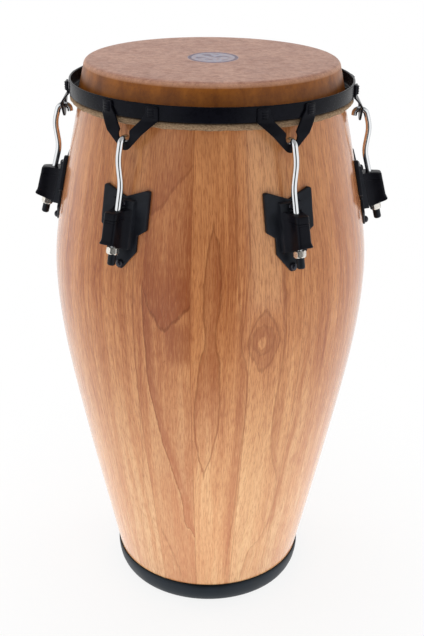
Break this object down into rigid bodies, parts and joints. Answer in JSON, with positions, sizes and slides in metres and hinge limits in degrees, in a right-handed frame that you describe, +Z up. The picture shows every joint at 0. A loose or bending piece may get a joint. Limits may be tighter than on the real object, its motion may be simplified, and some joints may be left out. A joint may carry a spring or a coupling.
{
  "type": "tumba (large conga drum)",
  "caption": "Tumba, the widest conga drum: clear-finished staved wooden shell, skin head, black floating rim and side plates, chrome tuning hooks, rubber base ring.",
  "frame": {"origin": "floor level under the middle of the shell", "axes": "+Z up along the shell's axis; -Y towards the front, midway between two lugs"},
  "size_m": [0.461, 0.4094, 0.736],
  "materials": {
    "clear_rubberwood": "clear gloss lacquer",
    "head_skin": "dried cowhide, semi-gloss",
    "folded_skin": "dried cowhide, matte",
    "black_powder_coat": "satin black powder coat",
    "chrome": "bright",
    "nickel": "bright plated",
    "zinc_steel": "zinc plated",
    "black_rubber": "matte"
  },
  "bodies": {
    "drum": {"shell": "clear_rubberwood", "head_skin": "head_skin", "base_ring": "black_rubber", "side_plate_1": "black_powder_coat", "lug_block_1": "black_powder_coat", "upper_bolt_1": "black_powder_coat", "lower_bolt_1": "black_powder_coat", "backing_plate_1": "zinc_steel", "side_plate_2": "black_powder_coat", "lug_block_2": "black_powder_coat", "upper_bolt_2": "black_powder_coat", "lower_bolt_2": "black_powder_coat", "backing_plate_2": "zinc_steel", "side_plate_3": "black_powder_coat", "lug_block_3": "black_powder_coat", "upper_bolt_3": "black_powder_coat", "lower_bolt_3": "black_powder_coat", "backing_plate_3": "zinc_steel", "side_plate_4": "black_powder_coat", "lug_block_4": "black_powder_coat", "upper_bolt_4": "black_powder_coat", "lower_bolt_4": "black_powder_coat", "backing_plate_4": "zinc_steel", "side_plate_5": "black_powder_coat", "lug_block_5": "black_powder_coat", "upper_bolt_5": "black_powder_coat", "lower_bolt_5": "black_powder_coat", "backing_plate_5": "zinc_steel", "side_plate_6": "black_powder_coat", "lug_block_6": "black_powder_coat", "upper_bolt_6": "black_powder_coat", "lower_bolt_6": "black_powder_coat", "backing_plate_6": "zinc_steel"},
    "rim_ring": {"rim": "black_powder_coat", "skin_tuck": "folded_skin", "flesh_hoop": "zinc_steel", "hook_bracket_1": "black_powder_coat", "hook_bracket_2": "black_powder_coat", "hook_bracket_3": "black_powder_coat", "hook_bracket_4": "black_powder_coat", "hook_bracket_5": "black_powder_coat", "hook_bracket_6": "black_powder_coat"},
    "hook_1": {"tuning_hook_1": "chrome", "hook_cap_1": "black_rubber"},
    "nut_1": {"hook_nut_1": "nickel"},
    "hook_2": {"tuning_hook_2": "chrome", "hook_cap_2": "black_rubber"},
    "nut_2": {"hook_nut_2": "nickel"},
    "hook_3": {"tuning_hook_3": "chrome", "hook_cap_3": "black_rubber"},
    "nut_3": {"hook_nut_3": "nickel"},
    "hook_4": {"tuning_hook_4": "chrome", "hook_cap_4": "black_rubber"},
    "nut_4": {"hook_nut_4": "nickel"},
    "hook_5": {"tuning_hook_5": "chrome", "hook_cap_5": "black_rubber"},
    "nut_5": {"hook_nut_5": "nickel"},
    "hook_6": {"tuning_hook_6": "chrome", "hook_cap_6": "black_rubber"},
    "nut_6": {"hook_nut_6": "nickel"}
  },
  "joints": [
    {"name": "rim_tension", "type": "slide", "parent": "drum", "child": "rim_ring", "axis": [0, 0, -1], "range_m": [0, 0.006]},
    {"name": "hook_1_draw", "type": "slide", "parent": "drum", "child": "hook_1", "axis": [-0.1275, -0.2208, -0.9669], "range_m": [0, 0.00631]},
    {"name": "nut_1_turn", "type": "hinge", "parent": "drum", "child": "nut_1", "pos_m": [-0.10755, -0.18628, 0.54826], "axis": [0.1275, 0.2208, 0.9669], "range_deg": [0, 1790]},
    {"name": "hook_2_draw", "type": "slide", "parent": "drum", "child": "hook_2", "axis": [0.1275, -0.2208, -0.9669], "range_m": [0, 0.00631]},
    {"name": "nut_2_turn", "type": "hinge", "parent": "drum", "child": "nut_2", "pos_m": [0.10755, -0.18628, 0.54826], "axis": [-0.1275, 0.2208, 0.9669], "range_deg": [0, 1790]},
    {"name": "hook_3_draw", "type": "slide", "parent": "drum", "child": "hook_3", "axis": [0.255, 0, -0.9669], "range_m": [0, 0.00631]},
    {"name": "nut_3_turn", "type": "hinge", "parent": "drum", "child": "nut_3", "pos_m": [0.2151, 0, 0.54826], "axis": [-0.255, 0, 0.9669], "range_deg": [0, 1790]},
    {"name": "hook_4_draw", "type": "slide", "parent": "drum", "child": "hook_4", "axis": [0.1275, 0.2208, -0.9669], "range_m": [0, 0.00631]},
    {"name": "nut_4_turn", "type": "hinge", "parent": "drum", "child": "nut_4", "pos_m": [0.10755, 0.18628, 0.54826], "axis": [-0.1275, -0.2208, 0.9669], "range_deg": [0, 1790]},
    {"name": "hook_5_draw", "type": "slide", "parent": "drum", "child": "hook_5", "axis": [-0.1275, 0.2208, -0.9669], "range_m": [0, 0.00631]},
    {"name": "nut_5_turn", "type": "hinge", "parent": "drum", "child": "nut_5", "pos_m": [-0.10755, 0.18628, 0.54826], "axis": [0.1275, -0.2208, 0.9669], "range_deg": [0, 1790]},
    {"name": "hook_6_draw", "type": "slide", "parent": "drum", "child": "hook_6", "axis": [-0.255, 0, -0.9669], "range_m": [0, 0.00631]},
    {"name": "nut_6_turn", "type": "hinge", "parent": "drum", "child": "nut_6", "pos_m": [-0.2151, 0, 0.54826], "axis": [0.255, 0, 0.9669], "range_deg": [0, 1790]}
  ],
  "couplings": [
    {"joint": "hook_1_draw", "follows": "rim_tension", "ratio": 1.0342},
    {"joint": "nut_1_turn", "follows": "rim_tension", "rad_per_m": 5198.4},
    {"joint": "hook_2_draw", "follows": "rim_tension", "ratio": 1.0342},
    {"joint": "nut_2_turn", "follows": "rim_tension", "rad_per_m": 5198.4},
    {"joint": "hook_3_draw", "follows": "rim_tension", "ratio": 1.0342},
    {"joint": "nut_3_turn", "follows": "rim_tension", "rad_per_m": 5198.4},
    {"joint": "hook_4_draw", "follows": "rim_tension", "ratio": 1.0342},
    {"joint": "nut_4_turn", "follows": "rim_tension", "rad_per_m": 5198.4},
    {"joint": "hook_5_draw", "follows": "rim_tension", "ratio": 1.0342},
    {"joint": "nut_5_turn", "follows": "rim_tension", "rad_per_m": 5198.4},
    {"joint": "hook_6_draw", "follows": "rim_tension", "ratio": 1.0342},
    {"joint": "nut_6_turn", "follows": "rim_tension", "rad_per_m": 5198.4}
  ]
}
